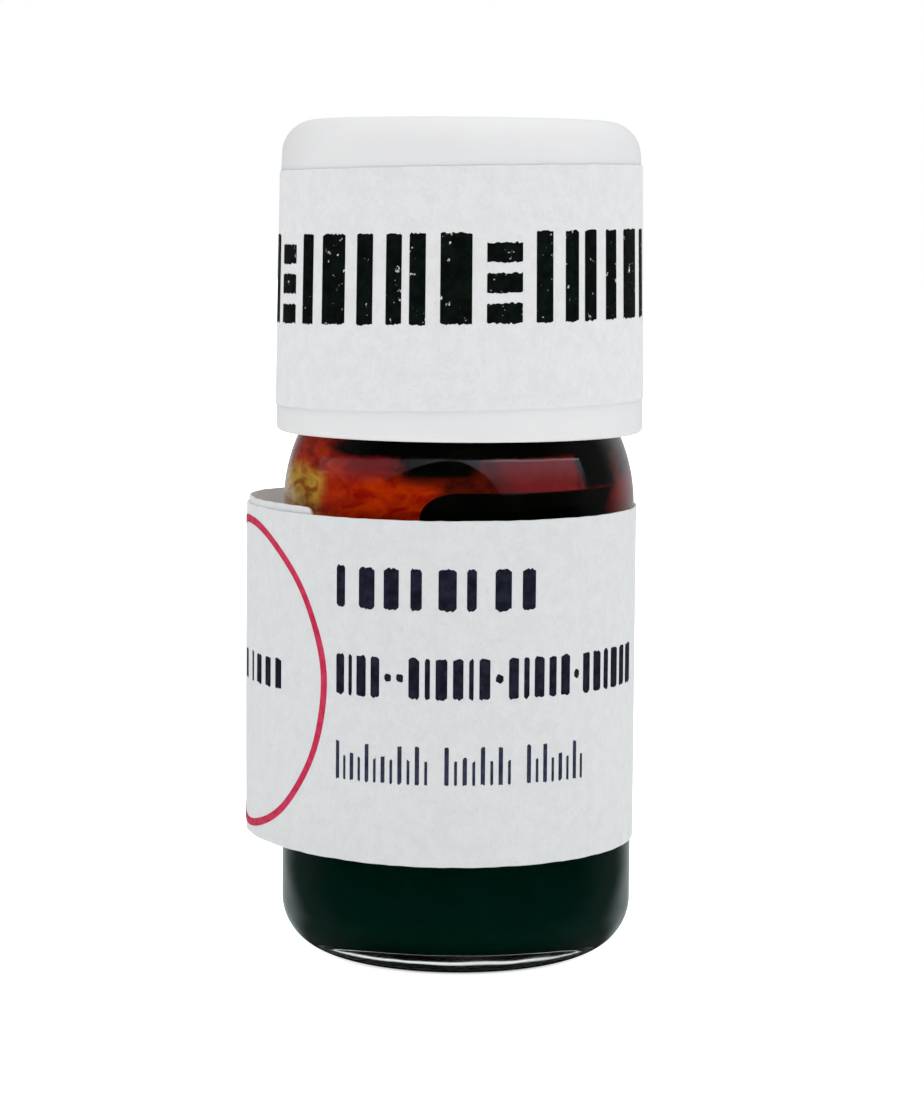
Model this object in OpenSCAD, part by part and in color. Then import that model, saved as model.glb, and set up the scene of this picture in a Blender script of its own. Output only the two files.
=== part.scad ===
// Glass sample vial with a threaded neck, a plastic screw cap with its liner,
// a paper band round the cap, a loosely wound paper label and its liquid contents.
// Z is up and -Y is the front. The origin is the centre of the foot ring,
// on the surface that the vial stands on.

/* [Glass body] */
// Outside diameter of the body
vial_d = 16.6; // [15.6:0.1:24]
// Thickness of the body's wall
vial_wall = 1.1; // [0.8:0.05:1.3]
// Height at which the straight side ends and the shoulder starts
side_h = 21.2; // [12:0.1:60]
// Thickness of the glass in the middle of the base
base_t = 0.9; // [0.6:0.1:2.5]
// Height of the push-up in the middle of the base
punt_h = 0.4; // [0.2:0.1:1.2]
// Inner radius of the foot ring, where the push-up ends
foot_r = 4.6; // [3:0.1:5]
// Radius of the rounded heel
heel_r = 2.4; // [1.8:0.1:3]
// Radius of the long arc that the shoulder starts with
shoulder_r = 8; // [6:0.5:12]
// Angle of the body's side at which the shoulder turns over
shoulder_a = 24; // [16:1:30]
// Radius with which the shoulder turns over
turnover_r = 1.5; // [1.4:0.1:2]

/* [Neck] */
// Diameter of the neck between its threads
neck_d = 12.95; // [10.75:0.05:15.55]
// How far the neck's thread stands out
thread_h = 0.725; // [0.6:0.025:0.9]
// Diameter of the neck's bore
bore_d = 8.8; // [5:0.1:9.4]
// Height of the neck, from the shoulder to the rim
neck_h = 11.1; // [9:0.1:15]
// Rise of the thread in one turn
pitch = 2.117; // [1.9:0.001:2.6]
// Turns of thread on the neck
neck_turns = 2; // [1:0.25:2.5]
// Distance from the rim down to the top of the neck's thread
thread_down = 1.3; // [0.8:0.1:2]

/* [Cap] */
// Thickness of the skirt behind the thread, at its lower rim
cap_wall = 1.21; // [1:0.01:2.5]
// Thickness of the cap's top
cap_top_t = 1.4; // [1:0.1:3]
// Draft of the skirt's outside
cap_draft = 0.9; // [0:0.1:1.2]
// Radius of the rounded top edge
cap_edge_r = 1.6; // [0.6:0.1:2]
// Room under the cap's rim, down to the shoulder
skirt_room = 0.78; // [0.3:0.01:1.5]
// Turns of thread in the cap
cap_turns = 1.75; // [1:0.25:2]
// Radial room between the neck's thread and the skirt
thread_room = 0.25; // [0.15:0.05:0.4]
// Room along the axis between the two threads when the cap is tight
thread_gap = 0.12; // [0.1:0.01:0.2]

/* [Liner] */
// Thickness of the foam disc
foam_t = 1.2; // [0.6:0.1:2]
// Thickness of the facing under the foam
facing_t = 0.15; // [0.1:0.01:0.3]
// Room round the liner
liner_room = 0.15; // [0.1:0.05:0.3]

/* [Paper] */
// Thickness of the label's paper
paper_t = 0.1; // [0.06:0.01:0.15]
// Thickness of the glue under the paper
glue_t = 0.02; // [0.02:0.01:0.04]
// Height of the body label's lower edge above the heel, where the strip starts
label_foot = 3.22; // [0.5:0.01:6]
// How far the label's upper edge passes the end of the straight side
label_over = 0.17; // [-2:0.01:0.2]
// How far the strip sinks in one turn
label_sink = 0.33; // [0:0.01:0.6]
// Angle round from the front at which the strip starts
label_start = 52; // [30:1:70]
// Angle that the strip covers past one full turn
label_lap = 96; // [40:1:120]
// How far the loose loop stands off the glass
loop_out = 2.35; // [0.5:0.05:3]
// Height of the band's lower edge above the cap's rim
band_foot = 1.42; // [1:0.01:2]
// Distance from the band's upper edge up to where the cap's top edge is rounded
band_under = 0.6; // [0.4:0.05:2]
// Tilt of the band, lower at the left
band_tilt = 1.35; // [0:0.05:2]

/* [Contents] */
// How far the liquid's level is below the end of the straight side
fill_down = 1.2; // [1:0.1:8]
// How far the liquid climbs the glass
meniscus_h = 0.35; // [0.1:0.05:0.6]
// Thickness of the coat of liquid above the level
film_t = 0.06; // [0.04:0.01:0.1]

/* [Hidden] */
round_fn = 96;
arc_steps = 10;
vial_r = vial_d / 2;
bore_r = bore_d / 2;
neck_r = neck_d / 2;
inside_r = vial_r - vial_wall;
floor_z = punt_h + base_t;
fill_z = side_h - fill_down;
inside_heel_r = heel_r - vial_wall;
// The shoulder is two arcs with one tangent: a long one, then a short one over the top
long_x = vial_r - shoulder_r;
short_x = long_x + (shoulder_r - turnover_r) * cos(shoulder_a);
short_z = side_h + (shoulder_r - turnover_r) * sin(shoulder_a);
neck_z = shoulder_z(neck_r);
rim_z = neck_z + neck_h;
lip_r = 0.45;
bore_foot_r = 0.8;
ceiling_z = short_z + turnover_r - vial_wall;
// Threads
thread_steps = 24;
thread_sunk = 0.3;
thread_run_in = 3;
neck_crest_w = 0.5;
neck_root_w = 1.15;
cap_crest_w = 0.45;
cap_root_w = 1;
cap_thread_h = 0.72;
thread_r = neck_r + thread_h;
skirt_in_r = thread_r + thread_room;
thread_top_z = rim_z - thread_down - neck_root_w / 2;
// How deep the cap's thread reaches past the crest of the neck's, and how wide the neck's is there
thread_bite = thread_r - (skirt_in_r - cap_thread_h);
neck_bite_w = neck_crest_w + (neck_root_w - neck_crest_w) * thread_bite / (thread_h + thread_sunk);
cap_below = (neck_bite_w + cap_crest_w) / 2 + thread_gap;
// Cap
relief_r = skirt_in_r + cap_wall / 3;
cap_foot_z = shoulder_z(relief_r) + skirt_room;
relief_top_z = max(neck_z, cap_foot_z) + 0.5;
liner_top_z = rim_z + facing_t + foam_t;
cap_top_z = liner_top_z + cap_top_t;
cap_h = cap_top_z - cap_foot_z;
cap_foot_r = skirt_in_r + cap_wall;
cap_rim_r = 0.25;
liner_r = skirt_in_r - liner_room;
band_h = cap_h - cap_edge_r - band_under - band_foot;
// Body label
label_r = vial_r + glue_t;
label_foot_z = heel_r + label_foot;
label_h = side_h + label_over - label_foot_z;
wind_gap = 0.015;
label_turn = 360 + label_lap;
label_step = 4;
// Angles round from the front at which the label leaves the glass, stands off most and comes back
loop_from = 38;
loop_peak = 116;
loop_to = 158;

// Points along an arc, as [radius, height], with its ends
function arc(x, z, r, from, to) =
    [for (i = [0:arc_steps]) let (a = from + (to - from) * i / arc_steps) [x + r * cos(a), z + r * sin(a)]];

// Height of the shoulder's outside at a radius
function shoulder_z(r) =
    r >= long_x + shoulder_r * cos(shoulder_a)
        ? side_h + sqrt(max(0, shoulder_r * shoulder_r - (r - long_x) * (r - long_x)))
    : short_z + sqrt(turnover_r * turnover_r - pow(max(0, r - short_x), 2));

// Radius of the cap's outside at a height above its rim
function cap_r(h) = cap_foot_r - h * tan(cap_draft);

// The vial's cavity from the middle of its floor up to where the shoulder starts,
// and over the shoulder to the neck's foot, each shrunk by a coat
function cavity_side(coat) = concat(
    [[0, floor_z + coat]],
    arc(inside_r - inside_heel_r, floor_z + inside_heel_r, inside_heel_r - coat, -90, 0)
);
function cavity_shoulder(coat) = concat(
    arc(long_x, side_h, shoulder_r - vial_wall - coat, 0, shoulder_a),
    arc(short_x, short_z, turnover_r - vial_wall - coat, shoulder_a, 90)
);

function reversed(list) = [for (i = [len(list) - 1:-1:0]) list[i]];

// Faces of a strip of four-cornered rings, numbered 0 to n, with both ends closed
function strip_faces(n) = concat(
    [
        for (i = [0:n - 1], j = [0:3])
            let (near = 4 * i, far = 4 * i + 4, k = (j + 1) % 4)
            each [[near + j, far + k, near + k], [near + j, far + j, far + k]]
    ],
    [[0, 1, 2], [0, 2, 3], [4 * n + 2, 4 * n + 1, 4 * n], [4 * n + 3, 4 * n + 2, 4 * n]]
);

// A ridge that climbs right-handed round Z and ends at its top on +X, so that two of them keep in step.
// It is full between its tapered ends.
module ridge(root_r, wall_r, crest_r, root_w, crest_w, top_z, turns) {
    n = round(turns * thread_steps);
    outward = crest_r > root_r;
    rings = [
        for (i = [0:n])
            let (
                a = (i - n) * 360 / thread_steps,
                z = top_z + pitch * a / 360,
                full = min(1, i / thread_run_in, (n - i) / thread_run_in),
                tip_r = (wall_r + root_r) / 2 + (crest_r - (wall_r + root_r) / 2) * full,
                corners = [
                    [root_r, -root_w / 2], [tip_r, -crest_w / 2],
                    [tip_r, crest_w / 2], [root_r, root_w / 2]
                ]
            )
            [for (c = corners) [c[0] * cos(a), c[0] * sin(a), z + c[1]]]
    ];
    faces = strip_faces(n);
    polyhedron(
        points = [for (ring = rings) each ring],
        faces = outward ? [for (f = faces) reversed(f)] : faces
    );
}

module glass_vial() {
    punt_r = (foot_r * foot_r + punt_h * punt_h) / (2 * punt_h);
    shoulder = concat(
        arc(long_x, side_h, shoulder_r, 0, shoulder_a),
        arc(short_x, short_z, turnover_r, shoulder_a, 90)
    );
    outside = concat(
        arc(0, punt_h - punt_r, punt_r, 90, 90 - asin(foot_r / punt_r)),
        arc(vial_r - heel_r, heel_r, heel_r, -90, 0),
        [for (p = shoulder) if (p[0] > neck_r) p],
        [[neck_r, neck_z]],
        arc(neck_r - lip_r, rim_z - lip_r, lip_r, 0, 90)
    );
    inside = concat(
        cavity_side(0),
        cavity_shoulder(0),
        arc(bore_r + bore_foot_r, ceiling_z + bore_foot_r, bore_foot_r, -90, -180),
        arc(bore_r + lip_r, rim_z - lip_r, lip_r, 180, 90)
    );
    color([0.86, 0.91, 0.9, 0.4])
        union() {
            rotate_extrude($fn = round_fn)
                polygon(concat(outside, reversed(inside)));
            ridge(
                neck_r - thread_sunk, neck_r, thread_r,
                neck_root_w, neck_crest_w, thread_top_z, neck_turns
            );
        }
}

module gold_liquid() {
    surface = arc(
        inside_r - meniscus_h, fill_z + meniscus_h, meniscus_h, 0, -90
    );
    color([0.05, 0.07, 0.05])
        rotate_extrude($fn = round_fn)
            polygon(concat(cavity_side(0), surface, [[0, fill_z]]));
}

module wall_film() {
    foot_z = fill_z + meniscus_h;
    color([0.6, 0.16, 0.03])
        rotate_extrude($fn = round_fn)
            polygon(concat(
                [[inside_r, foot_z]],
                cavity_shoulder(0),
                reversed(cavity_shoulder(film_t)),
                [[inside_r - film_t, foot_z]]
            ));
}

// Share of the loop's full stand-off at an angle round from the front
function loop_share(a) =
    a <= loop_from || a >= loop_to ? 0
    : a < loop_peak ? pow(sin(90 * (a - loop_from) / (loop_peak - loop_from)), 2) * a / loop_peak
    : pow(cos(90 * (a - loop_peak) / (loop_to - loop_peak)), 2);

module body_label() {
    n = round(label_turn / label_step);
    rings = [
        for (i = [0:n])
            let (
                turned = label_turn * i / n,
                a = label_start + turned,
                inner_r = label_r + (paper_t + wind_gap) * turned / 360 + loop_out * loop_share(a % 360),
                z = label_foot_z - label_sink * turned / 360,
                corners = [
                    [inner_r, z], [inner_r + paper_t, z],
                    [inner_r + paper_t, z + label_h], [inner_r, z + label_h]
                ]
            )
            [for (c = corners) [-c[0] * sin(a), -c[0] * cos(a), c[1]]]
    ];
    color([0.9, 0.91, 0.92])
        polyhedron(points = [for (ring = rings) each ring], faces = strip_faces(n));
}

module screw_cap() {
    shell = concat(
        [[0, cap_top_z]],
        reversed(arc(
            cap_r(cap_h) - cap_edge_r, cap_top_z - cap_edge_r, cap_edge_r, 0, 90
        )),
        reversed(arc(
            cap_foot_r - cap_rim_r, cap_foot_z + cap_rim_r, cap_rim_r, -90, 0
        )),
        [
            [relief_r, cap_foot_z], [relief_r, relief_top_z],
            [skirt_in_r, relief_top_z + relief_r - skirt_in_r],
            [skirt_in_r, liner_top_z], [0, liner_top_z]
        ]
    );
    color([0.95, 0.95, 0.95])
        union() {
            rotate_extrude($fn = round_fn) polygon(shell);
            ridge(
                skirt_in_r + thread_sunk, skirt_in_r, skirt_in_r - cap_thread_h,
                cap_root_w, cap_crest_w, thread_top_z - cap_below, cap_turns
            );
        }
}

// The band is a thin skin on the skirt, cut off by two slanting planes
module cap_band() {
    low = band_foot - 1;
    high = band_foot + band_h + 1;
    over = 2 * cap_foot_r + 2;
    skin = [
        [cap_r(low) + glue_t, cap_foot_z + low], [cap_r(low) + glue_t + paper_t, cap_foot_z + low],
        [cap_r(high) + glue_t + paper_t, cap_foot_z + high], [cap_r(high) + glue_t, cap_foot_z + high]
    ];
    color([0.93, 0.93, 0.94])
        intersection() {
            rotate_extrude($fn = round_fn) polygon(skin);
            translate([0, 0, cap_foot_z + band_foot])
                rotate([0, -band_tilt, 0])
                    translate([-over / 2, -over / 2, 0])
                        cube([over, over, band_h]);
        }
}

module liner_foam() {
    color([0.97, 0.97, 0.95])
        translate([0, 0, rim_z + facing_t])
            cylinder(r = liner_r, h = foam_t, $fn = round_fn);
}

module liner_facing() {
    color([0.98, 0.98, 0.98])
        translate([0, 0, rim_z])
            cylinder(r = liner_r, h = facing_t, $fn = round_fn);
}

glass_vial();
gold_liquid();
wall_film();
body_label();
screw_cap();
cap_band();
liner_foam();
liner_facing();
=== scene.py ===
"""Looks for the glass sample vial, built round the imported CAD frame.

Lengths are in millimetres until a mesh is made, which is in metres. Z is up, -Y is the front.
Angles round the vial are in degrees from the front towards -X, so they grow clockwise seen from above.
"""

import math

import bpy
import numpy as np
from mathutils import Matrix, Vector


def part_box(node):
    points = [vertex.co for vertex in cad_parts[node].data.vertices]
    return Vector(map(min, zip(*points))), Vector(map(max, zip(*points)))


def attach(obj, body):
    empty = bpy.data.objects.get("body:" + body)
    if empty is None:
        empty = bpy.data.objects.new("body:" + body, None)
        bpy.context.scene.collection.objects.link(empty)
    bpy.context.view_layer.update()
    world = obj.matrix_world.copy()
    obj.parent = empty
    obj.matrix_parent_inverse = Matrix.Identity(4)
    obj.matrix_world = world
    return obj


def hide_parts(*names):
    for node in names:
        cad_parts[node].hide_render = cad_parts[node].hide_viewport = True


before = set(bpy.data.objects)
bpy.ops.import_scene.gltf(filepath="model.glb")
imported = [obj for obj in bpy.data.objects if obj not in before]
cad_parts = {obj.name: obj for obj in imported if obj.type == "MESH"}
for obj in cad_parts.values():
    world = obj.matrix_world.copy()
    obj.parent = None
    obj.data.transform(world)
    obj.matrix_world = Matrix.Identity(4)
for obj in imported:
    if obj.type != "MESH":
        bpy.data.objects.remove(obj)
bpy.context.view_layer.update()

MM = 0.001
UV_TALL = 40.0
SHARP_FROM = math.radians(35.0)
WHITE = (1.0, 1.0, 1.0)
random = np.random.default_rng(7)


# ---------------------------------------------------------------- sizes, from the frame where it has them


def box_mm(node):
    """A node's lowest and highest corners in millimetres."""
    low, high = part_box(node)
    return np.array(low) / MM, np.array(high) / MM


_, glass_high = box_mm("glass_vial")
liquid_low, liquid_high = box_mm("gold_liquid")
_, film_high = box_mm("wall_film")
label_low, label_high = box_mm("body_label")
cap_low, cap_high = box_mm("screw_cap")
band_low, band_high = box_mm("cap_band")
foam_low, foam_high = box_mm("liner_foam")
facing_low, facing_high = box_mm("liner_facing")

# Glass
vial_r = glass_high[0]
rim_z = glass_high[2]
inside_r = liquid_high[0]
vial_wall = vial_r - inside_r
ceiling_z = film_high[2]
floor_z = liquid_low[2]
heel_r = 2.4
heel_in_r = heel_r - vial_wall
punt_h = 0.4
foot_r = 4.6
shoulder_r = 8.0
shoulder_a = 24.0
turnover_r = 1.5
neck_r = 6.475
bore_r = 4.4
lip_r = 0.45
bore_foot_r = 0.8
long_x = vial_r - shoulder_r
short_x = long_x + (shoulder_r - turnover_r) * math.cos(math.radians(shoulder_a))
short_z = ceiling_z + vial_wall - turnover_r
side_h = short_z - (shoulder_r - turnover_r) * math.sin(math.radians(shoulder_a))

# Threads: height, top, number of turns, and width along the axis at the crest and at the foot
pitch = 2.117
thread_top_z = rim_z - 1.875
neck_thread = {"h": 0.725, "top": thread_top_z, "turns": 2.0, "crest": 0.5, "foot": 0.96}
cap_thread = {"h": 0.72, "top": thread_top_z - 0.744, "turns": 1.75, "crest": 0.45, "foot": 0.84}
run_in_turns = 0.125
thread_step = 0.09

# Liquid. wetted is how far it and the film reach into the glass, so that no gap shows
meniscus_h = 0.35
fill_z = liquid_high[2] - meniscus_h
film_t = 0.06
wetted = 0.006

# Where the film is thin, thick or red. Four numbers are start, full, full to and end, in degrees from the
# front towards -X, or in millimetres up
film_far_left_a = (38.0, 54.0, 110.0, 140.0)
film_thinnest_a = (50.0, 66.0, 98.0, 128.0)
film_middle_a = (-22.0, -12.0, 14.0, 30.0)
film_ring_a = (-78.0, -68.0, 46.0, 58.0)
film_right_a = (-74.0, -66.0, -50.0, -46.0)
film_smear_a = (-125.0, -105.0, -74.0, -66.0)
film_lens_h = (22.75, 22.95, 23.6, 23.9)
film_lens_a, film_lens_half = 8.0, (16.5, 11.5)
film_thin_top = 22.8
film_pool_z, film_pool_h = 22.2, 1.1
film_pool_corner_a = 13.5

# Cap
cap_foot_z = cap_low[2]
cap_top_z = cap_high[2]
cap_foot_r = cap_high[0]
cap_draft = math.tan(math.radians(0.9))
cap_edge_r = 1.6
cap_rim_r = 0.25
skirt_in_r = 7.45
relief_r = 7.853
relief_top_z = 25.825
skirt_top_z = foam_high[2]
skirt_chamfer = 0.06

# Cap's band
band_tilt = math.tan(math.radians(1.35))
band_r = band_high[0]
band_foot_z = band_low[2] + band_r * band_tilt
band_h = band_high[2] - band_low[2] - 2 * band_r * band_tilt
band_t = 0.06
band_clear = 0.005
band_seam = 138.0
band_lap = 9.0

# Label: a strip wound from label_start through label_turn degrees, with a loose loop and an overlap
paper_t = 0.1
glue_t = 0.02
label_start = 52.0
label_turn = 456.0
label_sink = 0.33
wind_gap = 0.015
loop_out = 2.35
loop_from, loop_peak, loop_to = 38.0, 116.0, 158.0
lap_from, lap_over = 349.0, 9.0
label_r = vial_r + glue_t
label_h = label_high[2] - label_low[2] - label_sink * label_turn / 360
label_foot_z = label_high[2] - label_h

# Print: how far the ink stands above the paper, and how far it reaches into it
ink_t = 0.006
ink_sunk = 0.004
text_left = 41.0


# ---------------------------------------------------------------- meshes


def make(name, points, faces, body, material, replaces=(), uv=None):
    """One closed mesh piece from points in millimetres. material may be a list, and uv gives each point's
    surface coordinates."""
    mesh = bpy.data.meshes.new(name)
    mesh.from_pydata((np.asarray(points) * MM).tolist(), [], [list(map(int, f)) for f in faces])
    if uv is not None:
        layer = mesh.uv_layers.new(name="Along")
        corners = np.empty(len(mesh.loops), dtype=np.int64)
        mesh.loops.foreach_get("vertex_index", corners)
        layer.data.foreach_set("uv", np.asarray(uv, dtype=np.float32)[corners].ravel())
    mesh.validate()
    mesh.shade_smooth()
    mesh.set_sharp_from_angle(angle=SHARP_FROM)
    piece = bpy.data.objects.new(name, mesh)
    bpy.context.scene.collection.objects.link(piece)
    for m in material if isinstance(material, list) else [material]:
        mesh.materials.append(m)
    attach(piece, body)
    if replaces:
        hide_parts(*replaces)
    return piece


def arc(x, z, r, start, end, steps=20):
    """Points [radius, height] along an arc, with its ends."""
    a = np.radians(np.linspace(start, end, steps + 1))
    return [[x + r * c, z + r * s] for c, s in zip(np.cos(a), np.sin(a))]


def line(start, end, step):
    """Points from start to end about a step apart, without the ends."""
    n = max(2, int(round(math.dist(start, end) / step)))
    along, up = end[0] - start[0], end[1] - start[1]
    return [[start[0] + along * i / n, start[1] + up * i / n] for i in range(1, n)]


def lathe(profile, columns, push=None):
    """Points and faces of a closed body turned round Z. The profile's [radius, height] points run from axis
    to axis, or form a ring. push(angles, radius, height) gives the radial moves of one point's ring."""
    profile = [p for i, p in enumerate(profile) if i == 0 or math.dist(p, profile[i - 1]) > 1e-6]
    rings, points, count = [], [], 0
    angles = np.radians(np.arange(columns) * 360 / columns)
    for r, z in profile:
        if r < 1e-9:
            points.append(np.array([[0, 0, z]]))
            rings.append([count])
            count += 1
            continue
        radius = np.full(columns, r)
        if push is not None:
            radius = radius + push(np.degrees(angles), r, z)
        xs, ys = radius * np.cos(angles), radius * np.sin(angles)
        points.append(np.stack([xs, ys, np.full(columns, z)], axis=1))
        rings.append(list(range(count, count + columns)))
        count += columns
    faces = []
    pairs = list(zip(rings, rings[1:]))
    if len(rings[0]) > 1 and len(rings[-1]) > 1:
        pairs.append((rings[-1], rings[0]))
    for low, high in pairs:
        for i in range(columns):
            k = (i + 1) % columns
            if len(low) == 1:
                faces.append([low[0], high[k], high[i]])
            elif len(high) == 1:
                faces.append([low[i], low[k], high[0]])
            else:
                faces.append([low[i], low[k], high[k], high[i]])
    return np.concatenate(points), faces


def grid_faces(columns, rows, closed_columns=False):
    """Faces of a sheet of columns x rows points, in that order."""
    faces = []
    for i in range(columns if closed_columns else columns - 1):
        k = (i + 1) % columns
        for j in range(rows - 1):
            faces.append([i * rows + j, k * rows + j, k * rows + j + 1, i * rows + j + 1])
    return faces


def slab(outer, inner, columns, rows, closed_columns=False):
    """A closed sheet with thickness, from its outer and inner points in columns x rows order."""
    n = columns * rows
    front = grid_faces(columns, rows, closed_columns)
    faces = front + [[n + v for v in reversed(f)] for f in front]
    for i in range(columns if closed_columns else columns - 1):
        k = (i + 1) % columns
        faces.append([i * rows, i * rows + n, k * rows + n, k * rows])
        top, top_next = i * rows + rows - 1, k * rows + rows - 1
        faces.append([top, top_next, top_next + n, top + n])
    if not closed_columns:
        for j in range(rows - 1):
            faces.append([j, j + 1, j + 1 + n, j + n])
            last = (columns - 1) * rows + j
            faces.append([last + 1, last, last + n, last + 1 + n])
    return np.concatenate([outer, inner]), faces


def flipped(faces):
    return [f[::-1] for f in faces]


def round_axis(r, a, z):
    """Points at radii, at angles in radians from the front towards -X, and heights."""
    return np.stack([-r * np.sin(a), -r * np.cos(a), z + 0 * r], axis=-1)


def ripple(along, *waves):
    """The sum of sine waves, each given as height, turning per unit along, and start."""
    return sum(height * np.sin(along * rate + start) for height, rate, start in waves)


def thread_height(angle, z, t):
    """How far a right-handed thread stands out at angles in degrees from +X and a height."""
    best = np.zeros_like(angle, dtype=float)
    for k in range(1, int(t["turns"]) + 2):
        turn = angle / 360 - k
        centre = t["top"] + pitch * turn
        full = np.clip(np.minimum((turn + t["turns"]) / run_in_turns, -turn / run_in_turns), 0, 1)
        across = np.clip((t["foot"] / 2 - np.abs(z - centre)) / ((t["foot"] - t["crest"]) / 2), 0, 1)
        best = np.maximum(best, full * across * across * (3 - 2 * across))
    return best * t["h"]


# ---------------------------------------------------------------- node helpers


class Nodes:
    """A material's or world's node tree with short calls for the nodes used here."""

    def __init__(self, tree):
        self.tree = tree
        tree.nodes.clear()

    def add(self, kind, **values):
        node = self.tree.nodes.new(kind)
        for key, value in values.items():
            setattr(node, key, value)
        return node

    def put(self, socket, value):
        if isinstance(value, bpy.types.NodeSocket):
            self.tree.links.new(value, socket)
        else:
            socket.default_value = value

    def math(self, operation, *values):
        node = self.add("ShaderNodeMath", operation=operation)
        for socket, value in zip(node.inputs, values):
            self.put(socket, value)
        return node.outputs[0]

    def times(self, *values):
        """The product of the values."""
        product = values[0]
        for value in values[1:]:
            product = self.math("MULTIPLY", product, value)
        return product

    def ramp(self, value, low, high, to_low=0.0, to_high=1.0):
        """value mapped smoothly from low..high to to_low..to_high."""
        node = self.add("ShaderNodeMapRange", interpolation_type="SMOOTHSTEP")
        for socket, v in zip(node.inputs, (value, low, high, to_low, to_high)):
            self.put(socket, v)
        return node.outputs[0]

    def between(self, value, start, full, full_to, end):
        """1 where value is from full to full_to, falling smoothly to 0 at start and at end."""
        return self.times(self.ramp(value, start, full), self.ramp(value, end, full_to))

    def mix(self, share, a, b, blend="MIX"):
        node = self.add("ShaderNodeMix", data_type="RGBA", blend_type=blend)
        self.put(node.inputs["Factor"], share)
        self.put(node.inputs[6], a if isinstance(a, bpy.types.NodeSocket) else (*a, 1.0))
        self.put(node.inputs[7], b if isinstance(b, bpy.types.NodeSocket) else (*b, 1.0))
        return node.outputs[2]

    def noise(self, where, scale, detail=3.0, rough=0.5, distortion=0.0):
        node = self.add("ShaderNodeTexNoise")
        self.put(node.inputs["Vector"], where)
        settings = {"Scale": scale, "Detail": detail, "Roughness": rough, "Distortion": distortion}
        for key, v in settings.items():
            node.inputs[key].default_value = v
        return node.outputs["Fac"]

    def wander(self, where, scale, **settings):
        """Noise about zero."""
        return self.math("SUBTRACT", self.noise(where, scale, **settings), 0.5)

    def place(self, scale=(1000, 1000, 1000)):
        """The piece's own coordinates in millimetres, stretched if asked."""
        where = self.add("ShaderNodeTexCoord").outputs["Object"]
        node = self.add("ShaderNodeVectorMath", operation="MULTIPLY")
        self.put(node.inputs[0], where)
        node.inputs[1].default_value = scale
        return node.outputs[0]

    def split(self, vector):
        node = self.add("ShaderNodeSeparateXYZ")
        self.put(node.inputs[0], vector)
        return node.outputs

    def from_axis(self, x, y):
        return self.math("SQRT", self.math("ADD", self.times(x, x), self.times(y, y)))

    def mirrored_only(self, path):
        """1 for light that is mirrored by a surface, 0 for light that goes through glass."""
        through = self.math("SUBTRACT", 1.0, path.outputs["Is Transmission Ray"])
        return self.times(path.outputs["Is Glossy Ray"], through)

    def along(self):
        """Angle in degrees and height in millimetres, from the piece's own surface coordinates."""
        x, y, _ = self.split(self.add("ShaderNodeUVMap", uv_map="Along").outputs[0])
        return self.times(x, 360.0), self.times(y, UV_TALL)

    def bump(self, height, distance, strength):
        node = self.add("ShaderNodeBump")
        node.inputs["Strength"].default_value = strength
        node.inputs["Distance"].default_value = distance * MM
        self.put(node.inputs["Height"], height)
        return node.outputs[0]

    def principled(self, **values):
        node = self.add("ShaderNodeBsdfPrincipled")
        for key, value in values.items():
            self.put(node.inputs[key.replace("_", " ")], value)
        out = self.add("ShaderNodeOutputMaterial")
        self.tree.links.new(node.outputs[0], out.inputs["Surface"])


def material(name):
    """A new material and its node tree."""
    m = bpy.data.materials.new(name)
    m.use_nodes = True
    return m, Nodes(m.node_tree)


def turn_uv(points):
    """Surface coordinates: turns from the front towards -X, and height over UV_TALL."""
    turns = np.degrees(np.arctan2(-points[:, 0], -points[:, 1])) / 360
    return np.stack([turns, points[:, 2] / UV_TALL], axis=1)


# ---------------------------------------------------------------- materials


def glass_material():
    """Clear glass with a faint uneven tint and the long low waves of blown tubing."""
    m, n = material("clear_glass_blown")
    where = n.place()
    tint = n.mix(n.noise(where, 0.3), (0.955, 0.985, 0.975), (0.985, 0.995, 0.99))
    waves = n.noise(n.place((1000, 1000, 350)), 0.45, detail=1.0)
    n.principled(
        Base_Color=tint, Roughness=0.0, IOR=1.5, Transmission_Weight=1.0,
        Normal=n.bump(waves, 0.06, 0.5),
    )
    return m


def liquid_colour(n, where):
    """The dark liquid's cloudiness, and its colour from that."""
    cloud = n.noise(where, 0.35, detail=4.0)
    return cloud, n.mix(cloud, (0.0003, 0.0150, 0.0098), (0.0008, 0.0205, 0.0138))


def liquid_material(name, gloss):
    """The dark liquid. It has a gloss of its own only where it is open to the air, not against the glass."""
    m, n = material(name)
    cloud, colour = liquid_colour(n, n.place())
    n.principled(
        Base_Color=colour, Roughness=n.ramp(cloud, 0.3, 0.7, 0.08, 0.16),
        Specular_IOR_Level=0.5 if gloss else 0.0, IOR=1.45,
    )
    return m


def liquid_foot_material():
    """The liquid against the glass base, which turns light that grazes it back into the glass."""
    m, n = material("dark_liquid_foot")
    cloud, colour = liquid_colour(n, n.place())
    weight = n.add("ShaderNodeLayerWeight")
    weight.inputs["Blend"].default_value = 0.5
    grazing = n.ramp(weight.outputs["Facing"], 0.56, 0.72)
    n.principled(
        Base_Color=n.mix(grazing, colour, (0.93, 0.95, 0.94)), Metallic=grazing,
        Roughness=n.ramp(cloud, 0.3, 0.7, 0.04, 0.07), Specular_IOR_Level=0.0,
    )
    return m


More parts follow.
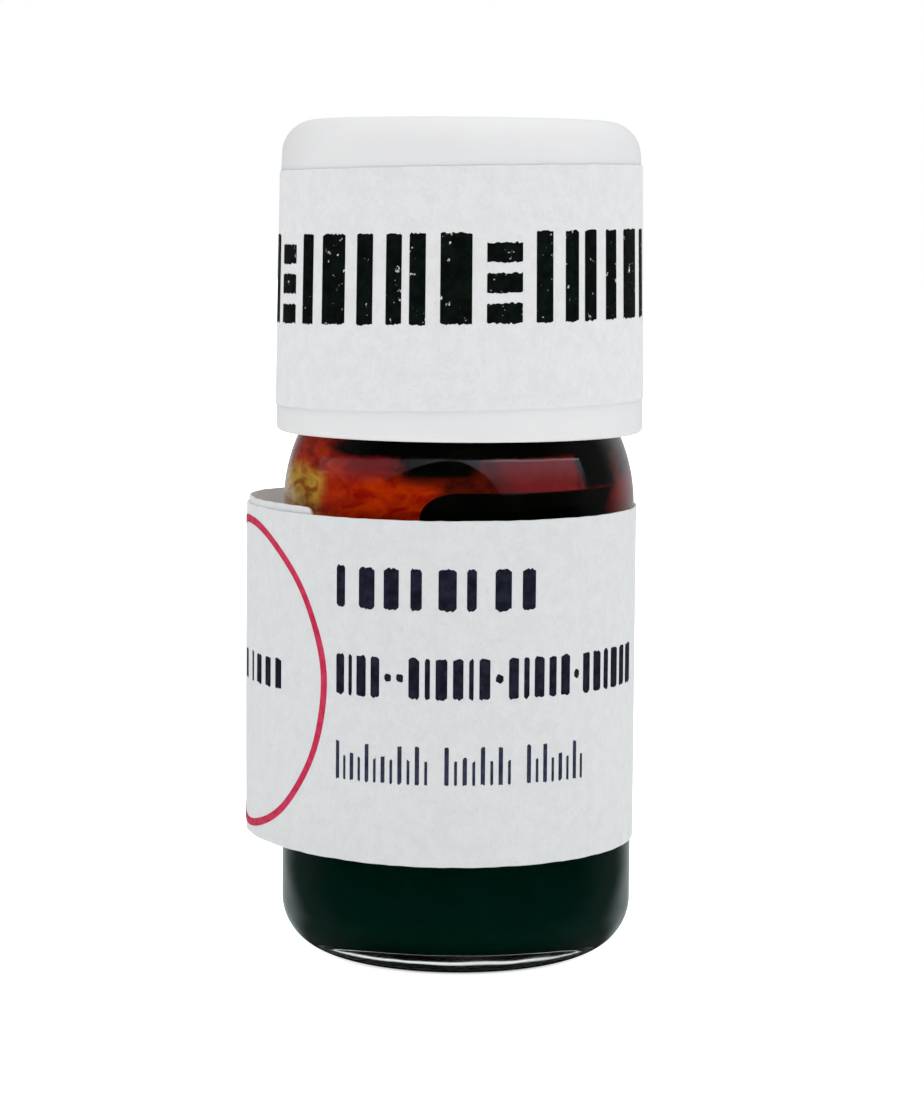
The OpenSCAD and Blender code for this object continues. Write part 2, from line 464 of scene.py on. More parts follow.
def film_material(name, gloss):
    """The coat of liquid on the glass: yellow and orange where it is thin, then crimson, then black-green.
    The coat is opaque, so its yellow, orange and red are painted light, standing in for light that comes
    through where it is thin.
    """
    m, n = material(name)
    where = n.place()
    angle, height = n.along()
    wander = n.wander(where, 0.55, detail=4.0)
    fine = n.wander(where, 2.2, detail=5.0, rough=0.6)
    streak = n.wander(n.place((1000, 1000, 2200)), 0.8, detail=3.0, distortion=0.9)
    # The angle and height, pushed about by the noise so that no edge is straight
    a = n.math("ADD", angle, n.math("ADD", n.times(wander, 22.0), n.times(fine, 4.0)))
    h = n.math("ADD", height, n.math("ADD", n.times(wander, 0.6), n.times(fine, 0.12)))
    crimson = n.mix(n.ramp(fine, -0.3, 0.3), (0.24, 0.0060, 0.0045), (0.36, 0.0130, 0.0110))
    red = n.mix(n.ramp(streak, -0.2, 0.2), (0.30, 0.008, 0.003), (0.78, 0.050, 0.006))
    orange = n.mix(n.ramp(streak, -0.2, 0.2), (0.46, 0.006, 0.0006), (0.86, 0.055, 0.0008))
    yellow = n.mix(n.ramp(streak, -0.15, 0.15), (0.46, 0.12, 0.002), (0.95, 0.58, 0.070))
    black = n.mix(n.ramp(wander, -0.2, 0.2), (0.0006, 0.0012, 0.0005), (0.0045, 0.0050, 0.0025))
    brown = n.mix(n.ramp(fine, -0.2, 0.2), (0.070, 0.0060, 0.0025), (0.17, 0.0120, 0.0040))
    # Thinner at the far left, where the brighter red is painted light coming through
    colour = n.mix(n.between(a, *film_far_left_a), crimson, red)
    # Thin on the left below the turn of the shoulder
    low_left = n.times(n.ramp(a, 6.0, 24.0), n.ramp(h, film_thin_top + 0.35, film_thin_top - 0.35))
    colour = n.mix(low_left, colour, orange)
    # Brown in the middle, with a painted orange glow beside the pool
    colour = n.mix(n.between(a, *film_middle_a), colour, brown)
    painted_glow = n.times(n.ramp(a, 4.0, 12.0), n.ramp(h, film_pool_z + 0.6, film_pool_z))
    colour = n.mix(painted_glow, colour, orange)
    # Thinnest low at the far left
    thinnest = n.times(n.between(a, *film_thinnest_a), n.ramp(h, 23.25, 22.5))
    colour = n.mix(thinnest, colour, yellow)
    # Thick under the neck all round, and in a lens in the middle of the front
    neck_ring = n.times(n.ramp(h, 23.45, 23.75), n.between(a, *film_ring_a))
    colour = n.mix(neck_ring, colour, black)
    lens_side = n.ramp(n.math("ABSOLUTE", n.math("SUBTRACT", a, film_lens_a)), *film_lens_half)
    lens = n.times(lens_side, n.between(h, *film_lens_h))
    colour = n.mix(lens, colour, black)
    # The pool: thick liquid up to a level line from the middle of the front to the right, with a round corner
    past = n.math("DIVIDE", n.math("MAXIMUM", angle, 0.0), film_pool_corner_a)
    short_of = n.math("MAXIMUM", n.math("SUBTRACT", 1.0, n.times(past, past)), 0.0)
    drop = n.math("SUBTRACT", 1.0, n.math("SQRT", short_of))
    pool_top = n.math("SUBTRACT", film_pool_z, n.times(drop, film_pool_h))
    below = n.ramp(n.math("SUBTRACT", height, n.math("ADD", pool_top, n.times(fine, 0.06))), 0.03, -0.03)
    pool = n.times(below, n.math("LESS_THAN", past, 1.0), n.ramp(a, -72.0, -62.0))
    colour = n.mix(pool, colour, black)
    # Thick on the right, and patchy beyond
    right = n.times(n.between(a, *film_right_a), n.ramp(h, 21.9, 22.4))
    colour = n.mix(right, colour, black)
    patches = n.times(n.ramp(h, 22.2, 22.8), n.ramp(streak, -0.25, 0.1, 1.0, 0.7))
    colour = n.mix(n.times(n.between(a, *film_smear_a), patches), colour, black)
    n.principled(
        Base_Color=colour, Roughness=n.ramp(fine, -0.3, 0.3, 0.15, 0.3),
        Specular_IOR_Level=0.5 if gloss else 0.0, Normal=n.bump(fine, 0.02, 0.4),
    )
    return m


def paper_material(name, tone):
    """Uncoated label paper: short fibres, a faint mottle and a soft tooth."""
    m, n = material(name)

    def shade(share):
        return tuple(min(1.0, c * share) for c in tone)

    where = n.place()
    mottle = n.noise(where, 1.6, detail=5.0, rough=0.6)
    fibre = n.noise(n.place((2200, 2200, 900)), 3.4, detail=6.0, rough=0.7, distortion=1.4)
    tooth = n.noise(where, 8.0, detail=5.0, rough=0.7)
    colour = n.mix(n.ramp(mottle, 0.35, 0.65), shade(0.97), shade(1.02))
    colour = n.mix(n.times(n.ramp(fibre, 0.45, 0.72), 0.45), colour, shade(0.86))
    colour = n.mix(n.times(n.ramp(tooth, 0.56, 0.68), 0.42), colour, shade(0.74))
    height = n.math("ADD", n.times(fibre, 0.6), n.times(tooth, 0.4))
    # The inner face glows where the paper stands clear of the glass: painted light, standing in for light
    # that comes through the paper
    x, y, _ = n.split(where)
    nx, ny, _ = n.split(n.add("ShaderNodeNewGeometry").outputs["Normal"])
    outward = n.math("ADD", n.times(nx, x), n.times(ny, y))
    through = n.times(n.math("LESS_THAN", outward, 0.0), n.ramp(n.from_axis(x, y), 8.6, 9.3, 0.0, 0.24))
    n.principled(
        Base_Color=colour, Roughness=n.ramp(fibre, 0.3, 0.7, 0.78, 0.92), Specular_IOR_Level=0.15,
        Emission_Color=colour, Emission_Strength=through, Normal=n.bump(height, 0.02, 0.6),
    )
    return m


def ink_material(name, ink, edge, flecks):
    """Print on paper: ink of two tones, with worn flecks where the paper shows through."""
    m, n = material(name)
    where = n.place()
    body = n.mix(n.ramp(n.noise(where, 2.5, detail=4.0), 0.3, 0.7), ink, edge)
    worn = n.noise(where, 3.4, detail=6.0, rough=0.62)
    patches = n.noise(where, 0.8, detail=2.0)
    limit = n.ramp(patches, 0.35, 0.65, 0.80 - flecks * 0.1, 0.80 - flecks * 0.22)
    bare = n.ramp(n.math("SUBTRACT", worn, limit), -0.01, 0.03)
    colour = n.mix(bare, body, (0.62, 0.63, 0.64))
    n.principled(Base_Color=colour, Roughness=n.ramp(worn, 0.3, 0.7, 0.5, 0.7), Specular_IOR_Level=0.06,
                 Normal=n.bump(worn, 0.01, 0.4))
    return m


def plastic_material():
    """Satin moulded plastic, slightly cloudy, with a fine grain."""
    m, n = material("cap_plastic_satin")
    where = n.place()
    cloud = n.noise(where, 0.25, detail=3.0)
    grain = n.noise(where, 14.0, detail=4.0, rough=0.6)
    colour = n.mix(cloud, (0.725, 0.732, 0.740), (0.775, 0.780, 0.786))
    n.principled(
        Base_Color=colour, Roughness=n.ramp(grain, 0.3, 0.7, 0.32, 0.44), Specular_IOR_Level=0.5, IOR=1.49,
        Subsurface_Weight=0.15, Subsurface_Scale=0.001,
        Normal=n.bump(grain, 0.004, 0.5),
    )
    return m


def foam_material():
    """Closed-cell foam."""
    m, n = material("liner_foam_cells")
    cells = n.add("ShaderNodeTexVoronoi")
    n.put(cells.inputs["Vector"], n.place())
    cells.inputs["Scale"].default_value = 5.0
    # Each cell is darker towards its middle, which the bump sinks into a hollow: painted shade
    colour = n.mix(n.ramp(cells.outputs["Distance"], 0.0, 0.6), (0.62, 0.61, 0.58), (0.84, 0.83, 0.80))
    n.principled(Base_Color=colour, Roughness=0.85, Specular_IOR_Level=0.2,
                 Normal=n.bump(cells.outputs["Distance"], 0.05, 0.8))
    return m


def facing_material():
    """Smooth white film with a few brown stains from the liquid."""
    m, n = material("liner_facing_film")
    where = n.place()
    haze = n.noise(where, 0.9, detail=4.0)
    stain = n.ramp(n.noise(where, 0.35, detail=3.0), 0.55, 0.75)
    colour = n.mix(haze, (0.78, 0.78, 0.77), (0.86, 0.86, 0.85))
    colour = n.mix(n.times(stain, 0.5), colour, (0.48, 0.22, 0.07))
    n.principled(Base_Color=colour, Roughness=n.ramp(haze, 0.3, 0.7, 0.25, 0.4), Specular_IOR_Level=0.5,
                 Normal=n.bump(haze, 0.01, 0.4))
    return m


# ---------------------------------------------------------------- glass, liquid and film


def cavity_shoulder(coat):
    """The inside of the shoulder, moved inward by a coat's thickness."""
    return (
        arc(long_x, side_h, shoulder_r - vial_wall - coat, 0, shoulder_a, 16)
        + arc(short_x, short_z, turnover_r - vial_wall - coat, shoulder_a, 90, 12)
    )


def build_glass():
    punt_r = (foot_r**2 + punt_h**2) / (2 * punt_h)
    punt_a = math.degrees(math.asin(foot_r / punt_r))
    shoulder = arc(long_x, side_h, shoulder_r, 0, shoulder_a, 24) + arc(
        short_x, short_z, turnover_r, shoulder_a, 90, 20)
    outside = (
        arc(0, punt_h - punt_r, punt_r, 90, 90 - punt_a, 12)
        + arc(vial_r - heel_r, heel_r, heel_r, -90, 0, 28)
        + line([vial_r, heel_r], [vial_r, side_h], 1.0)
        + [p for p in shoulder if p[0] > neck_r + 0.05]
    )
    # A tiny fillet where the shoulder meets the neck
    neck_foot_z = short_z + math.sqrt(turnover_r**2 - max(0.0, neck_r - short_x)**2)
    outside += [[neck_r + 0.02, neck_foot_z + 0.02]]
    outside += line([neck_r, neck_foot_z], [neck_r, rim_z - lip_r], thread_step)
    outside += arc(neck_r - lip_r, rim_z - lip_r, lip_r, 0, 90, 10)
    inside = (
        [[0, floor_z]]
        + arc(inside_r - heel_in_r, floor_z + heel_in_r, heel_in_r, -90, 0)
        + line([inside_r, floor_z + heel_r], [inside_r, side_h], 1.0)
        + cavity_shoulder(0)
        + arc(bore_r + bore_foot_r, ceiling_z + bore_foot_r, bore_foot_r, -90, -180, 10)
        + line([bore_r, ceiling_z + bore_foot_r], [bore_r, rim_z - lip_r], 1.5)
        + arc(bore_r + lip_r, rim_z - lip_r, lip_r, 180, 90, 10)
    )

    def thread(angle, r, z):
        if abs(r - neck_r) > 1e-6:
            return 0.0
        return thread_height(angle, z, neck_thread)

    points, faces = lathe(outside + inside[::-1], 220, thread)
    make("vial_glass", points, faces, "vial", glass_material(), ["glass_vial"])


def build_liquid():
    wet_r = inside_r + wetted
    profile = [[0, floor_z - wetted]]
    profile += arc(inside_r - heel_in_r, floor_z + heel_in_r, heel_in_r + wetted, -90, 0, 24)
    profile += line([wet_r, floor_z + heel_in_r], [wet_r, fill_z], 1.0) + [[wet_r, fill_z + meniscus_h]]
    profile += arc(inside_r - meniscus_h, fill_z + meniscus_h, meniscus_h, 0, -90, 10)
    profile += line([inside_r - meniscus_h, fill_z], [0, fill_z], 0.8)
    points, faces = lathe(profile + [[0, fill_z]], 160)
    piece = make("liquid_gold", points, faces, "vial",
                 [liquid_material("dark_liquid_on_glass", False), liquid_material("dark_liquid_open", True),
                  liquid_foot_material()],
                 ["gold_liquid"])
    # Its open surface is glossy, and its flat bottom lights the glass base
    open_from = fill_z - 0.01
    for face in piece.data.polygons:
        r = math.hypot(face.center.x, face.center.y) / MM
        if face.center.z / MM > open_from and r < inside_r - 0.02:
            face.material_index = 1
        elif face.normal.z < -0.98:
            face.material_index = 2


def build_film():
    foot_z = fill_z + meniscus_h - 0.01
    wet_r = inside_r + wetted
    outer = [[wet_r, foot_z]] + line([wet_r, foot_z], [wet_r, side_h], 0.4) + cavity_shoulder(-wetted)
    inner = cavity_shoulder(film_t)[::-1] + [[inside_r - film_t, foot_z]]
    points, faces = lathe(outer + inner, 220)
    piece = make("film_on_glass", points, faces, "vial",
                 [film_material("amber_film_on_glass", False), film_material("amber_film_open", True)],
                 ["wall_film"], uv=turn_uv(points))
    for face in piece.data.polygons:
        inward = face.normal.x * face.center.x + face.normal.y * face.center.y < 0
        if inward or face.normal.z < -0.7:
            face.material_index = 1


# ---------------------------------------------------------------- body label


def loop_share(a):
    """How far the paper stands off the glass at an angle, as a share of the loose loop's most."""
    a = np.mod(a, 360)
    rise = np.sin(np.radians(90 * (a - loop_from) / (loop_peak - loop_from)))**2 * a / loop_peak
    fall = np.cos(np.radians(90 * (a - loop_peak) / (loop_to - loop_peak)))**2
    return np.where((a <= loop_from) | (a >= loop_to), 0.0, np.where(a < loop_peak, rise, fall))


def label_point(turned, up, out):
    """A point on the label's strip: degrees along it, and millimetres above its lower edge and inner face."""
    a = label_start + turned
    step = np.clip((turned - lap_from) / lap_over, 0, 1)
    lap = (paper_t + wind_gap) * step * step * (3 - 2 * step)
    r = label_r + lap + loop_out * loop_share(a) + out
    return round_axis(r, np.radians(a), label_foot_z - label_sink * turned / 360 + up)


def at_front(a):
    """Degrees along the strip of its outer turn, at an angle from the front towards -X."""
    return a + 360 - label_start


def label_up(z):
    """Height above the strip's lower edge, at the front of its outer turn, of a height above the floor."""
    return z - (label_foot_z - label_sink * at_front(0) / 360)


def build_label():
    columns, rows = 381, 25
    corner_r = 0.5
    turned = np.linspace(0, label_turn, columns)
    from_end = np.minimum(turned, label_turn - turned) * math.pi * vial_r / 180
    rounding = corner_r - np.sqrt(np.maximum(0, corner_r**2 - (corner_r - from_end)**2))
    inset = np.where(from_end < corner_r, rounding, 0.0)
    # Both long edges waver inward, as cut paper does
    low = inset + np.abs(ripple(turned, (0.012, 0.21, 0), (0.010, 0.57, 1.3)))
    high = label_h - inset - np.abs(ripple(turned, (0.010, 0.27, 0.6), (0.012, 0.49, 0)))
    share = np.linspace(0, 1, rows)
    up = low[:, None] + (high - low)[:, None] * share[None, :]
    t = np.repeat(turned[:, None], rows, axis=1)
    # The loose loop is a little fuller between its edges
    loose = loop_share(label_start + t)
    bulge = 0.035 * loose * np.sin(math.pi * share)[None, :] + 0.01 * loose * np.sin(t * 0.4)
    in_loop = 0.03 * loose
    outer = label_point(t, up, paper_t + bulge - in_loop).reshape(-1, 3)
    inner = label_point(t, up, bulge - in_loop).reshape(-1, 3)
    points, faces = slab(outer, inner, columns, rows)
    make("label_paper_strip", points, flipped(faces), "vial",
         paper_material("label_paper_fibres", (0.665, 0.680, 0.690)), ["body_label"])


def print_piece(name, cells, where, body, mat):
    """Ink as thin closed tiles. A cell is (start, end, low, high, rounding) in the sheet's own coordinates,
    and where(along, up, out) gives points on the sheet, out being the height above it."""
    longest, tallest = 0.6, 0.25
    rough, most_rough = 0.03, 0.05
    round_share = 0.35
    all_points, all_faces, count = [], [], 0
    for start, end, low, high, rounding in cells:
        columns = max(5, int(abs(end - start) / longest) + 1)
        rows = max(3, int((high - low) / tallest) + 1)
        s = np.linspace(0, 1, columns)
        near_end = np.minimum(s, 1 - s) * 2
        pinch = rounding * np.sqrt(np.maximum(0, 1 - np.minimum(1, near_end / round_share)))**2
        rough_low = rough * random.standard_normal(columns)
        rough_high = rough * random.standard_normal(columns)
        along = np.repeat((start + (end - start) * s)[:, None], rows, axis=1)
        low_edge = low + pinch + np.clip(rough_low, -most_rough, most_rough)
        high_edge = high - pinch + np.clip(rough_high, -most_rough, most_rough)
        up = low_edge[:, None] + (high_edge - low_edge)[:, None] * np.linspace(0, 1, rows)[None, :]
        outer = where(along, up, ink_t).reshape(-1, 3)
        inner = where(along, up, -ink_sunk).reshape(-1, 3)
        points, faces = slab(outer, inner, columns, rows)
        all_points.append(points)
        all_faces += [[v + count for v in f] for f in (flipped(faces) if end > start else faces)]
        count += len(points)
    make(name, np.concatenate(all_points), all_faces, body, mat)


def on_label(along, up, out):
    return label_point(at_front(along), up, paper_t + out)


def label_cell(start, width, low, high, rounding):
    """A bar on the label, width degrees to the right of its start, between two heights above the floor."""
    return start, start - width, label_up(low), label_up(high), rounding


def build_label_print():
    """Plain bars: three rows at the front, and a short one inside the ring."""
    bold = ink_material("ink_blue_black", (0.006, 0.007, 0.016), (0.016, 0.018, 0.034), 0.35)
    light = ink_material("ink_grey_blue", (0.018, 0.022, 0.045), (0.040, 0.045, 0.075), 0.3)

    widths = (3.4, 5.6, 5.0, 3.6, 5.6, 3.0, 5.2, 4.4)
    row = [label_cell(text_left - 8.75 * i, width, 17.02, 18.9, 0.12) for i, width in enumerate(widths)]
    print_piece("label_print_upper", row, on_label, "vial", bold)

    row = []
    start = text_left
    widths = (3.2, 1.3, 3.4, 3.0, 2.2, 2.2, 3.4, 1.6, 3.6, 3.2, 1.4, 3.4, 2.4, 3.2, 1.8, 3.4, 2.6, 3.4, 2.0,
              3.0, 3.6, 2.4, 4.0, 3.4, 4.4)
    dots, gap = (4, 5, 12, 18), 1.75
    for i, width in enumerate(widths):
        low, high = (13.75, 14.1) if i in dots else (13.0, 14.85)
        row.append(label_cell(start, width, low, high, 0.08))
        start -= width + gap
    print_piece("label_print_middle", row, on_label, "vial", bold)

    row = []
    start = text_left
    foot, space, pair = 9.1, 3.6, 5.6
    tall, short = 10.85, 10.35
    for top in (tall, short, tall, short, tall, tall, None, tall, short, tall, tall, None, tall, tall, short,
                tall):
        if top is None:
            start -= space
            continue
        row.append(label_cell(start, 1.35, foot, top, 0.03))
        row.append((start - 3.0, start - 3.9, label_up(foot), label_up(10.2), 0.03))
        start -= pair
    print_piece("label_print_lower", row, on_label, "vial", light)

    row = [label_cell(70.0 + i * 6.2, 3.4, 12.75, 14.15, 0.05) for i in range(5)]
    print_piece("label_print_side", row, on_label, "vial", bold)


def build_label_ring():
    """A plain red ring printed on the label, round the loose loop. It is laid out on the flat strip, whose
    length is measured along the loop."""
    turns, across = 220, 4
    ring_r, ring_w = 7.25, 0.36
    right_tip_a = 46.0
    middle_up = label_up(13.15)
    angles = np.linspace(20, 175, 3000)
    path = label_point(at_front(angles), middle_up, paper_t)
    run = np.concatenate([[0], np.cumsum(np.linalg.norm(np.diff(path[:, :2], axis=0), axis=1))])
    t = np.radians(np.arange(turns) * 360 / turns)
    r = ring_r + ring_w * (np.linspace(0, 1, across) - 0.5)
    r = r[None, :] + ripple(t, (0.02, 5, 0.4), (0.015, 11, 0))[:, None]
    along = np.interp(right_tip_a, angles, run) + ring_r - r * np.cos(t)[:, None]
    up = middle_up + r * np.sin(t)[:, None]
    angle = np.interp(along, run, angles)
    outer = on_label(angle, up, ink_t).reshape(-1, 3)
    inner = on_label(angle, up, -ink_sunk).reshape(-1, 3)
    points, faces = slab(outer, inner, turns, across, closed_columns=True)
    red = ink_material("ink_crimson", (0.46, 0.018, 0.060), (0.56, 0.040, 0.095), 0.35)
    make("label_red_ring", points, flipped(faces), "vial", red)


# ---------------------------------------------------------------- cap, band and liner


def cap_radius(z):
    """The cap's outer radius at a height, which its draft makes smaller towards the top."""
    return cap_foot_r - (z - cap_foot_z) * cap_draft


def build_cap():
    top_r = cap_radius(cap_top_z) - cap_edge_r
    outside = (
        arc(cap_foot_r - cap_rim_r, cap_foot_z + cap_rim_r, cap_rim_r, -90, 0, 8)
        + line([cap_radius(cap_foot_z + cap_rim_r), cap_foot_z + cap_rim_r],
               [cap_radius(cap_top_z - cap_edge_r), cap_top_z - cap_edge_r], 0.8)
        + arc(top_r, cap_top_z - cap_edge_r, cap_edge_r, 0, 90, 20)
        + line([top_r, cap_top_z], [0, cap_top_z], 1.0)
        + [[0, cap_top_z]]
    )
    relief_end_z = relief_top_z + relief_r - skirt_in_r
    inside = (
        [[0, skirt_top_z]]
        + line([0, skirt_top_z], [skirt_in_r, skirt_top_z], 1.2)
        + [[skirt_in_r, skirt_top_z]]
        + line([skirt_in_r, skirt_top_z], [skirt_in_r, relief_end_z], thread_step)
        + [[skirt_in_r, relief_end_z], [relief_r, relief_top_z]]
        + [[relief_r, cap_foot_z + skirt_chamfer], [relief_r + skirt_chamfer, cap_foot_z]]
    )

    def thread(angle, r, z):
        if abs(r - skirt_in_r) > 1e-6 or z > skirt_top_z - 0.01:
            return 0.0
        return -thread_height(angle, z, cap_thread)

    points, faces = lathe(inside + outside, 220, thread)
    piece = make("cap_shell", points, faces, "cap", plastic_material(), ["screw_cap"])
    # Neither the cap nor its band is mirrored in the glass
    piece.visible_glossy = False


def band_point(angle, share, out):
    """A point on the cap's band: degrees from the front towards -X, share of its height, and height above its
    inner face."""
    a = np.radians(angle)
    level = band_foot_z + band_h * share
    z = level - cap_radius(level) * np.sin(a) * band_tilt
    return round_axis(cap_radius(z) + band_clear + out, a, z)


def build_band():
    columns, rows = 301, 17
    lap_rise, lap_gap = 3.0, 0.01
    along = np.linspace(0, 360 + band_lap, columns)
    t = np.repeat(along[:, None], rows, axis=1)
    share = np.repeat(np.linspace(0.0015, 0.9985, rows)[None, :], columns, axis=0)
    share = share + ripple(along, (0.0008, 0.33, 0), (0.0006, 0.71, 2))[:, None] * (share - 0.5) * 2
    lap = np.clip((t - 360 + lap_rise) / lap_rise, 0, 1) * (band_t + lap_gap)
    outer = band_point(band_seam + t, share, band_t + lap).reshape(-1, 3)
    inner = band_point(band_seam + t, share, lap).reshape(-1, 3)
    points, faces = slab(outer, inner, columns, rows)
    piece = make("band_paper_strip", points, flipped(faces), "cap",
                 paper_material("band_paper_fibres", (0.715, 0.722, 0.735)), ["cap_band"])
    piece.visible_glossy = False


def on_band(along, up, out):
    return band_point(along, up / band_h, band_t + out)


def band_up(z):
    return z - band_foot_z


def build_band_print():
    """A row of bold worn blocks round the front of the band."""
    worn_black = ink_material("ink_worn_black", (0.0012, 0.0040, 0.0025), (0.0035, 0.0080, 0.0055), 0.8)
    low, high = band_up(29.92), band_up(34.0)
    third = (high - low) / 3
    gap, rounding = 4.4, 0.03
    pattern = ("bar", "block", "stack", "bar", "block", "bar", "split", "block", "stack", "bar", "split",
               "bar", "block", "bar")
    widths = {"bar": 5.6, "block": 9.5, "stack": 11.0, "split": 12.4}
    cells = []
    start = 96.0
    for kind in pattern:
        end = start - widths[kind]
        if kind == "stack":
            feet = [low + k * third for k in range(3)]
            cells += [(start, end, foot, foot + third * 0.66, rounding) for foot in feet]
        elif kind == "split":
            cells += [(start, start - 5.0, low, high, rounding), (start - 7.4, end, low, high, rounding)]
        else:
            cells.append((start, end, low, high, rounding))
        start -= widths[kind] + gap
    print_piece("band_print_blocks", cells, on_band, "cap", worn_black)


def build_liner():
    foam_r = foam_high[0]
    edge = 0.12
    profile = (
        [[0, foam_low[2]]]
        + line([0, foam_low[2]], [foam_r - edge, foam_low[2]], 1.2)
        + arc(foam_r - edge, foam_low[2] + edge, edge, -90, 0, 5)
        + arc(foam_r - edge, foam_high[2] - edge, edge, 0, 90, 5)
        + line([foam_r - edge, foam_high[2]], [0, foam_high[2]], 1.2)
        + [[0, foam_high[2] - 0.002]]
    )
    points, faces = lathe(profile, 140)
    make("liner_foam_disc", points, faces, "liner", foam_material(), ["liner_foam"])
    facing_r = facing_high[0]
    edge = 0.04
    low = facing_low[2]
    # A shallow ring pressed into it by the rim of the glass
    press_r, press_h, press_w = (neck_r + bore_r) / 2, 0.03, 0.7
    groove = [[r, low + press_h * math.exp(-((r - press_r) / press_w)**2)]
              for r in np.linspace(0.4, facing_r - edge, 30)]
    profile = (
        [[0, low]] + groove
        + arc(facing_r - edge, low + edge, edge, -90, 0, 4)
        + arc(facing_r - edge, facing_high[2] - edge, edge, 0, 90, 4)
        + [[0, facing_high[2]]]
    )
    points, faces = lathe(profile, 140)
    make("liner_facing_disc", points, faces, "liner", facing_material(), ["liner_facing"])


# ---------------------------------------------------------------- stage, light and camera


def floor_material():
    """White where the camera sees it, dimmer for the light it gives, and dark in the glass but for its far
    side."""
    m, n = material("pale_floor")
    tone = n.mix(n.noise(n.place((10, 10, 10)), 1.0), (0.88, 0.88, 0.88), (0.90, 0.90, 0.90))
    x, y, _ = n.split(n.place())
    away = n.from_axis(x, y)
    path = n.add("ShaderNodeLightPath")
    seen = n.ramp(away, 5.9, 6.6, 0.0, 0.30)
    seen = n.times(seen, n.math("ADD", 1.0, n.times(path.outputs["Is Camera Ray"], 2.0)))
    # Mirrored in the glass it is white only behind the vial, and further round close to it
    back = n.math("ADD", n.times(n.ramp(away, 10.0, 26.0), 0.67), -0.30)
    back = n.math("SUBTRACT", n.math("DIVIDE", y, away), back)
    mirrored = n.math("ADD", n.ramp(back, 0.0, 0.49, 0.0, 0.46), n.ramp(back, -0.75, -0.15, 0.0, 0.075))
    mirrored = n.times(mirrored, n.ramp(away, 6.6, 8.4))
    glossy = n.mirrored_only(path)
    strength = n.math("ADD", seen, n.times(glossy, n.math("SUBTRACT", mirrored, seen)))
    n.principled(Base_Color=n.mix(glossy, tone, (0.0, 0.0, 0.0)), Roughness=0.9, Specular_IOR_Level=0.0,
                 Emission_Color=n.mix(glossy, WHITE, (0.88, 0.98, 1.0)), Emission_Strength=strength)
    return m


def build_stage():
    """A floor 3 m across, just under the foot of the vial."""
    half, count, sunk = 1500.0, 12, 0.02
    xs = np.linspace(-half, half, count)
    points = np.array([[x, y, -sunk] for x in xs for y in xs])
    mesh = bpy.data.meshes.new("studio_floor")
    mesh.from_pydata((points * MM).tolist(), [], grid_faces(count, count))
    mesh.materials.append(floor_material())
    floor = bpy.data.objects.new("studio_floor", mesh)
    bpy.context.scene.collection.objects.link(floor)


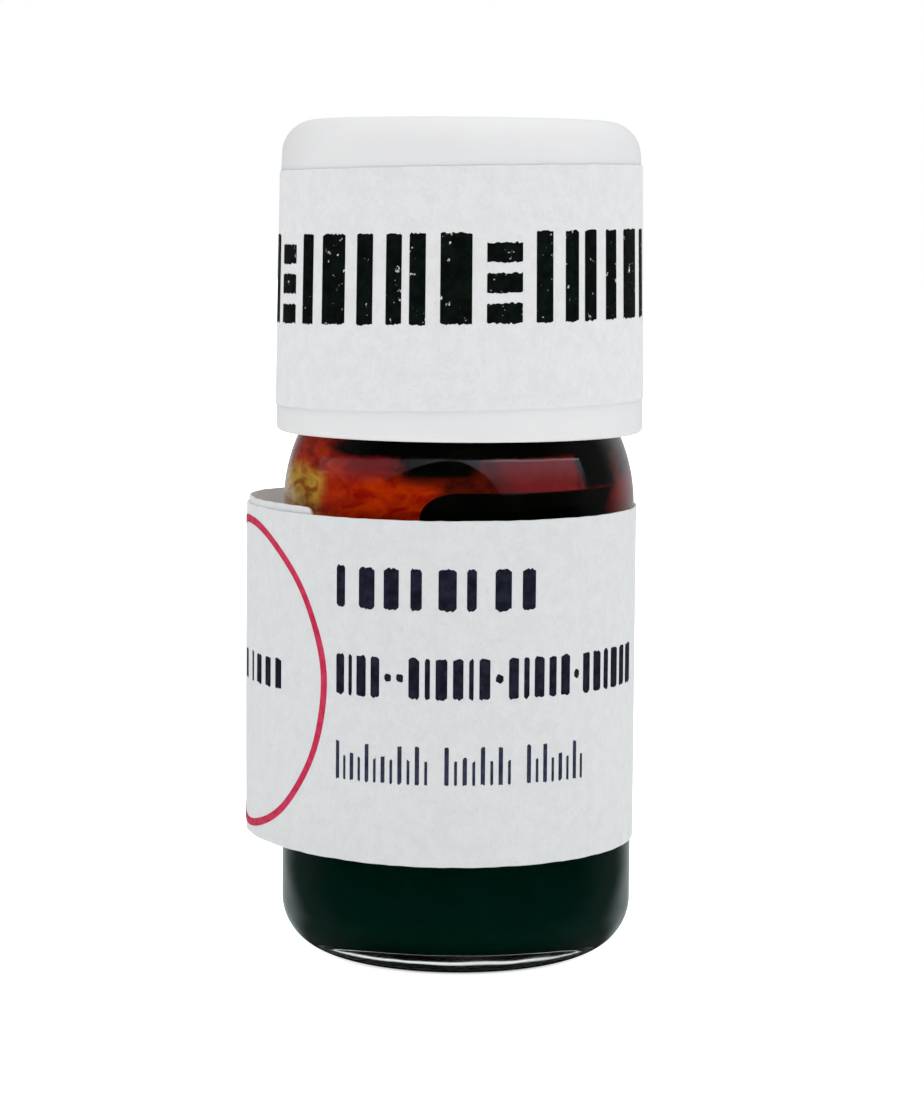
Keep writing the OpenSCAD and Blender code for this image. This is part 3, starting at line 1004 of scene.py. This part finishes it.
def build_world():
    """Soft light from all round. Mirrored in the glass are a white background behind and a wide soft light in
    front, from which a hump is taken out."""
    world = bpy.data.worlds.new("soft_studio")
    bpy.context.scene.world = world
    world.use_nodes = True
    n = Nodes(world.node_tree)
    x, y, z = n.split(n.add("ShaderNodeTexCoord").outputs["Generated"])
    degree = 180 / math.pi
    azimuth = n.times(n.math("ARCTAN2", x, n.times(y, -1.0)), degree)
    turn = n.math("ABSOLUTE", azimuth)
    height = n.times(n.math("ARCSINE", z), degree)
    # The white background, which comes further round at the upper left
    upper_left = n.times(n.math("LESS_THAN", azimuth, 0.0), n.ramp(height, -6.0, 3.0, 0.0, 26.0))
    behind = n.ramp(n.math("SUBTRACT", turn, upper_left), 112.0, 147.0)
    # The soft light in front, in two parts. Its level is the height it would have straight in front
    fall = n.math("COSINE", n.times(azimuth, 0.55 / degree))
    level = n.math("DIVIDE", height, n.math("MAXIMUM", fall, 0.2))
    right = n.times(n.between(azimuth, -60.0, -56.0, 93.5, 96.0), n.between(level, 9.5, 11.0, 33.0, 34.5))
    left = n.times(n.between(azimuth, -112.0, -109.0, -34.0, -30.0), n.between(level, 14.0, 18.5, 31.5, 34.0))
    hump_a, hump_top, hump_fall = -3.0, 33.0, 21.0
    hump_side = n.math("ADD", n.times(n.math("LESS_THAN", azimuth, hump_a), 28.0), 30.0)
    hump = n.math("DIVIDE", n.math("SUBTRACT", azimuth, hump_a), hump_side)
    hump_level = n.math("SUBTRACT", hump_top, n.times(hump, hump, hump_fall))
    clear_of_hump = n.ramp(n.math("SUBTRACT", level, hump_level), -0.6, 0.8)
    front = n.times(n.math("MAXIMUM", right, left), clear_of_hump, n.ramp(azimuth, -40.0, 0.0, 0.42, 1.0))
    strong = n.mix(n.ramp(level, 14.0, 32.0), (0.24, 0.22, 0.26), (0.95, 0.86, 1.02))
    strong = n.mix(n.times(n.ramp(level, 31.6, 33.2), n.ramp(azimuth, 5.0, 30.0)), strong, (3.1, 2.7, 3.1))
    mirrored = n.mix(n.ramp(turn, 55.0, 100.0), (0.010, 0.012, 0.012), (0.070, 0.072, 0.072))
    mirrored = n.mix(behind, mirrored, (0.49, 0.53, 0.55))
    mirrored = n.mix(front, mirrored, strong)
    # The light that falls on everything: more from behind, from the right and from above
    soft = n.mix(n.ramp(y, -0.8, 0.6), (0.55, 0.553, 0.557), (0.86, 0.86, 0.86))
    soft = n.mix(1.0, soft, n.mix(n.ramp(x, -1.0, 1.0), (0.98, 0.98, 0.98), (1.12, 1.12, 1.12)), "MULTIPLY")
    soft = n.mix(1.0, soft, n.mix(n.ramp(z, 0.0, 1.0), WHITE, (1.42, 1.42, 1.42)), "MULTIPLY")
    path = n.add("ShaderNodeLightPath")
    colour = n.mix(n.mirrored_only(path), soft, mirrored)
    colour = n.mix(path.outputs["Is Camera Ray"], colour, WHITE)
    background = n.add("ShaderNodeBackground")
    n.put(background.inputs["Color"], colour)
    out = n.add("ShaderNodeOutputWorld")
    n.tree.links.new(background.outputs[0], out.inputs["Surface"])


def add_light(name, place, size, power, toward):
    """A round soft light in millimetres and watts, which shows in nothing and is mirrored in nothing."""
    data = bpy.data.lights.new(name, "AREA")
    data.shape = "DISK"
    data.size = size * MM
    data.energy = power
    light = bpy.data.objects.new(name, data)
    bpy.context.scene.collection.objects.link(light)
    light.location = [c * MM for c in place]
    aim = np.array(toward, dtype=float) - np.array(place, dtype=float)
    light.rotation_euler = Vector(aim).to_track_quat("-Z", "Y").to_euler()
    light.visible_camera = False
    light.visible_glossy = False
    light.visible_transmission = False


def build_camera():
    """A long lens a hand's width away, a little above the cap's middle and tipped down."""
    distance, eye_z = 148.95, 34.85
    tip_down, roll, yaw = 4.55, 0.455, -0.053
    frame_w, frame_h = 924, 1104
    focal = 2.8537 * frame_h
    above_middle = 88.0
    data = bpy.data.cameras.new("photo_camera")
    data.sensor_width = 36.0
    data.lens = focal / frame_h * data.sensor_width
    data.shift_y = -above_middle / frame_h
    data.clip_start, data.clip_end = 0.005, 20.0
    camera = bpy.data.objects.new("photo_camera", data)
    bpy.context.scene.collection.objects.link(camera)
    turn = (
        Matrix.Rotation(math.radians(yaw), 4, "Z")
        @ Matrix.Rotation(math.radians(90 - tip_down), 4, "X")
        @ Matrix.Rotation(math.radians(roll), 4, "Z")
    )
    camera.matrix_world = Matrix.Translation((0, -distance * MM, eye_z * MM)) @ turn
    bpy.context.scene.camera = camera


def set_rendering():
    scene = bpy.context.scene
    scene.view_settings.view_transform = "Standard"
    scene.view_settings.look = "None"
    scene.cycles.max_bounces = 20
    scene.cycles.transmission_bounces = 16
    scene.cycles.glossy_bounces = 8
    scene.cycles.diffuse_bounces = 5
    scene.cycles.sample_clamp_indirect = 4.0


build_glass()
build_liquid()
build_film()
build_label()
build_label_print()
build_label_ring()
build_cap()
build_band()
build_band_print()
build_liner()
build_stage()
build_world()
add_light("top_soft", (0, -60, 330), 260, 0.28, (0, 0, 20))
build_camera()
set_rendering()
